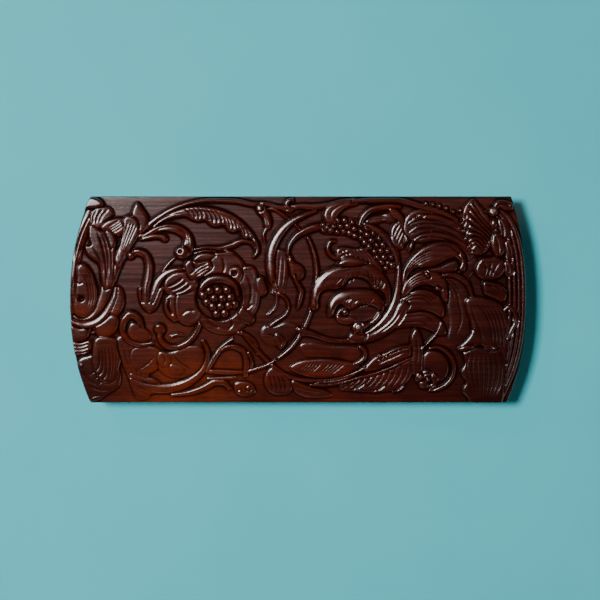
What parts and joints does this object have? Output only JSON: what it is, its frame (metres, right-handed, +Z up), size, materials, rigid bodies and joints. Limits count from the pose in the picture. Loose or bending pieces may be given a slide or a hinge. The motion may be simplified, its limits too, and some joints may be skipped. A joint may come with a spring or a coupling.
{
  "type": "hand bellows",
  "caption": "Hand bellows with a carved bowed-end wooden lid hinged over a plain base, pleated leather sides, a short brass nozzle and a leather flap valve.",
  "frame": {"origin": "middle of the base's underside, below the middle of the object's plan", "axes": "+X from the nozzle to the grip end, +Y across the boards, +Z up from the base to the carved lid"},
  "size_m": [0.4, 0.1816, 0.049],
  "materials": {
    "carved_wood": "dark red-brown mahogany, carved all over and varnished to a high gloss",
    "plain_wood": "dark red-brown mahogany, smooth, worn varnish",
    "bent_wood": "bare ash, planed",
    "leather": "dark brown, supple, matt",
    "pale_leather": "undyed, soft nap",
    "brass": "aged, lightly polished",
    "steel": "plain, darkened with age"
  },
  "bodies": {
    "base": {"base_board": "plain_wood", "head_block": "plain_wood", "nozzle_tube": "brass", "nozzle_collar": "brass", "hinge_leaf_block_front": "brass", "hinge_leaf_block_rear": "brass", "hinge_pin_front": "steel", "hinge_pin_rear": "steel", "screw_block_front_1": "brass", "screw_block_front_2": "brass", "screw_block_rear_1": "brass", "screw_block_rear_2": "brass", "screw_head_block_1": "steel", "screw_head_block_2": "steel", "screw_head_block_3": "steel", "screw_head_block_4": "steel", "bellows_leather": "leather", "hinge_gusset": "leather", "lower_binding": "leather", "valve_tail": "pale_leather", "valve_batten": "bent_wood", "valve_strap": "pale_leather", "batten_tack_1": "brass", "batten_tack_2": "brass", "strap_tack_1": "brass", "strap_tack_2": "brass"},
    "lid": {"top_board": "carved_wood", "hinge_leaf_lid_front": "brass", "hinge_leaf_lid_rear": "brass", "screw_lid_front_1": "brass", "screw_lid_front_2": "brass", "screw_lid_rear_1": "brass", "screw_lid_rear_2": "brass", "upper_binding": "leather"},
    "lower_hoop": {"hoop_lower": "bent_wood"},
    "upper_hoop": {"hoop_upper": "bent_wood"},
    "valve_flap": {"valve_facing": "pale_leather", "valve_plate": "bent_wood"}
  },
  "joints": [
    {"name": "lid_hinge", "type": "hinge", "parent": "base", "child": "lid", "pos_m": [-0.1779, 0, 0.0321], "axis": [0, -1, 0], "range_deg": [0, 18], "deforming": ["bellows_leather", "hinge_gusset"]},
    {"name": "lower_hoop_swing", "type": "hinge", "parent": "base", "child": "lower_hoop", "pos_m": [-0.1779, 0, 0.0321], "axis": [0, -1, 0], "range_deg": [0, 4.7]},
    {"name": "upper_hoop_swing", "type": "hinge", "parent": "base", "child": "upper_hoop", "pos_m": [-0.1779, 0, 0.0321], "axis": [0, -1, 0], "range_deg": [0, 13.4]},
    {"name": "valve_flap_hinge", "type": "hinge", "parent": "base", "child": "valve_flap", "pos_m": [-0.002, 0, 0.01375], "axis": [0, -1, 0], "range_deg": [0, 12]}
  ],
  "couplings": [
    {"joint": "lower_hoop_swing", "follows": "lid_hinge", "ratio": 0.26},
    {"joint": "upper_hoop_swing", "follows": "lid_hinge", "ratio": 0.74}
  ]
}
